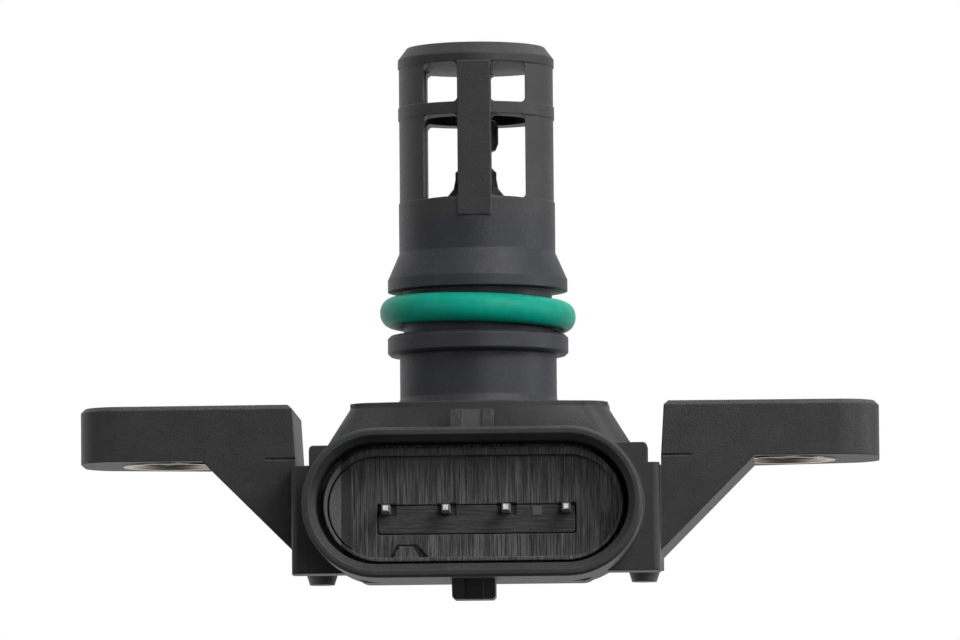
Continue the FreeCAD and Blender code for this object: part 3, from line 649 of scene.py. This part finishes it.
# Studio, with its places and sizes in metres and its brightness against white

LIT_POINT = (0, 0, 0.008)
SWEEP_LEVEL = 0.92
LEFT_WALL_LEVEL = 0.33
PAPER_HALF_WIDTH = 1.5
PAPER_GAP = 0.0001


def look_matrix(forward, up, spot):
    forward = Vector(forward).normalized()
    right = forward.cross(Vector(up)).normalized()
    top = right.cross(forward)
    turn = Matrix((right, top, -forward)).transposed()
    return Matrix.Translation(spot) @ turn.to_4x4()


def studio_camera():
    """Long lens, a little below the ears and looking slightly up the nose."""
    image_width_px = 960
    focal_px = 10000.0
    distance = 0.8
    yaw, pitch, roll = (math.radians(a) for a in (2.2, 4.75, 0.5))
    origin_px = (478.7, 409.0)
    middle_px = (480.0, 320.0)
    forward = Vector((-math.sin(yaw) * math.cos(pitch), math.cos(yaw) * math.cos(pitch), math.sin(pitch)))
    level = Vector((math.cos(yaw), math.sin(yaw), 0.0))
    upright = level.cross(forward)
    right = math.cos(roll) * level - math.sin(roll) * upright
    up = math.sin(roll) * level + math.cos(roll) * upright
    shift_x = (origin_px[0] - middle_px[0]) / focal_px * distance
    shift_y = -(origin_px[1] - middle_px[1]) / focal_px * distance
    data = bpy.data.cameras.new("studio_camera")
    data.sensor_width = 36.0
    data.lens = focal_px / image_width_px * data.sensor_width
    data.clip_end = 20.0
    camera = add("studio_camera", data)
    camera.matrix_world = look_matrix(forward, up, -distance * forward - shift_x * right - shift_y * up)
    bpy.context.scene.camera = camera


def soft_light(name, spot, size, watts):
    data = bpy.data.lights.new(name, "AREA")
    data.shape = "RECTANGLE"
    data.size, data.size_y = size
    data.energy = watts
    lamp = add(name, data)
    lamp.matrix_world = look_matrix(Vector(LIT_POINT) - Vector(spot), (0, 0, 1), Vector(spot))


def seen_itself(tree):
    """1 for what the camera sees itself, also through the gel, and 0 for reflections and light."""
    ray = tree.nodes.new("ShaderNodeLightPath")
    return maths(tree, "MAXIMUM", ray.outputs["Is Camera Ray"], ray.outputs["Is Transmission Ray"])


def mix_shaders(tree, share, first, second):
    node = tree.nodes.new("ShaderNodeMixShader")
    for socket, value in zip(node.inputs, (share, first, second)):
        feed(tree, socket, value)
    return node.outputs["Shader"]


def background(tree, strength):
    return put(tree, "ShaderNodeBackground", Color=grey(1.0), Strength=strength).outputs["Background"]


def studio_world():
    """In reflections: a pale sweep behind the part, a pale wall on its left and a dark room in front."""
    world = bpy.data.worlds.new("studio_world")
    bpy.context.scene.world = world
    world.use_nodes = True
    tree = world.node_tree
    tree.nodes.clear()
    x, y, z = axes(tree, tree.nodes.new("ShaderNodeTexCoord").outputs["Generated"])
    sweep = spread(tree, y, -0.2, 0.75, to_high=SWEEP_LEVEL)
    left_wall = spread(tree, x, 0.0, -0.9, to_high=LEFT_WALL_LEVEL)
    room = background(tree, maths(tree, "ADD", sweep, left_wall))
    white = background(tree, 1.0)
    put(tree, "ShaderNodeOutputWorld", Surface=mix_shaders(tree, seen_itself(tree), room, white))


def pale_floor():
    """Paper just under the lower lug. It shows only to the camera, and only from above."""
    low = cad_box[0].z - PAPER_GAP
    half = PAPER_HALF_WIDTH
    corners = [(-half, -half, low), (half, -half, low), (half, half, low), (-half, half, low)]
    mesh = bpy.data.meshes.new("floor")
    mesh.from_pydata(corners, [], [(0, 1, 2, 3)])
    floor = add("floor", mesh)
    material, tree, shader = finish("floor_paper")
    fill(tree, shader, Base_Color=grey(0.5), Roughness=0.9, Emission_Color=grey(1.0), Emission_Strength=0.55)
    clear = tree.nodes.new("ShaderNodeBsdfTransparent").outputs["BSDF"]
    from_below = tree.nodes.new("ShaderNodeNewGeometry").outputs["Backfacing"]
    hidden = maths(tree, "MAXIMUM", from_below, maths(tree, "SUBTRACT", 1.0, seen_itself(tree)))
    surface = mix_shaders(tree, hidden, shader.outputs["BSDF"], clear)
    fill(tree, tree.nodes["Material Output"], Surface=surface)
    mesh.materials.append(material)


def studio():
    bpy.context.scene.view_settings.view_transform = "Standard"
    studio_camera()
    studio_world()
    pale_floor()
    soft_light("key_right", spot=(0.36, -0.36, 0.36), size=(0.4, 0.4), watts=2.6)
    soft_light("near_right", spot=(0.17, -0.19, 0.18), size=(0.12, 0.12), watts=0.25)
    soft_light("front_right", spot=(0.15, -0.45, 0.03), size=(0.2, 0.2), watts=0.45)
    soft_light("front_left", spot=(-0.4, -0.4, 0.08), size=(0.2, 0.2), watts=0.3)
    soft_light("side_right", spot=(0.8, -0.05, 0.1), size=(0.3, 0.3), watts=2.3)
    soft_light("top_front", spot=(0.0, -0.35, 0.8), size=(0.4, 0.4), watts=1.9)
    soft_light("top_left", spot=(-0.5, -0.2, 0.7), size=(0.3, 0.3), watts=0.5)
    soft_light("top_back", spot=(0.1, 0.45, 0.7), size=(0.6, 0.4), watts=3.5)


dress_all()
studio()
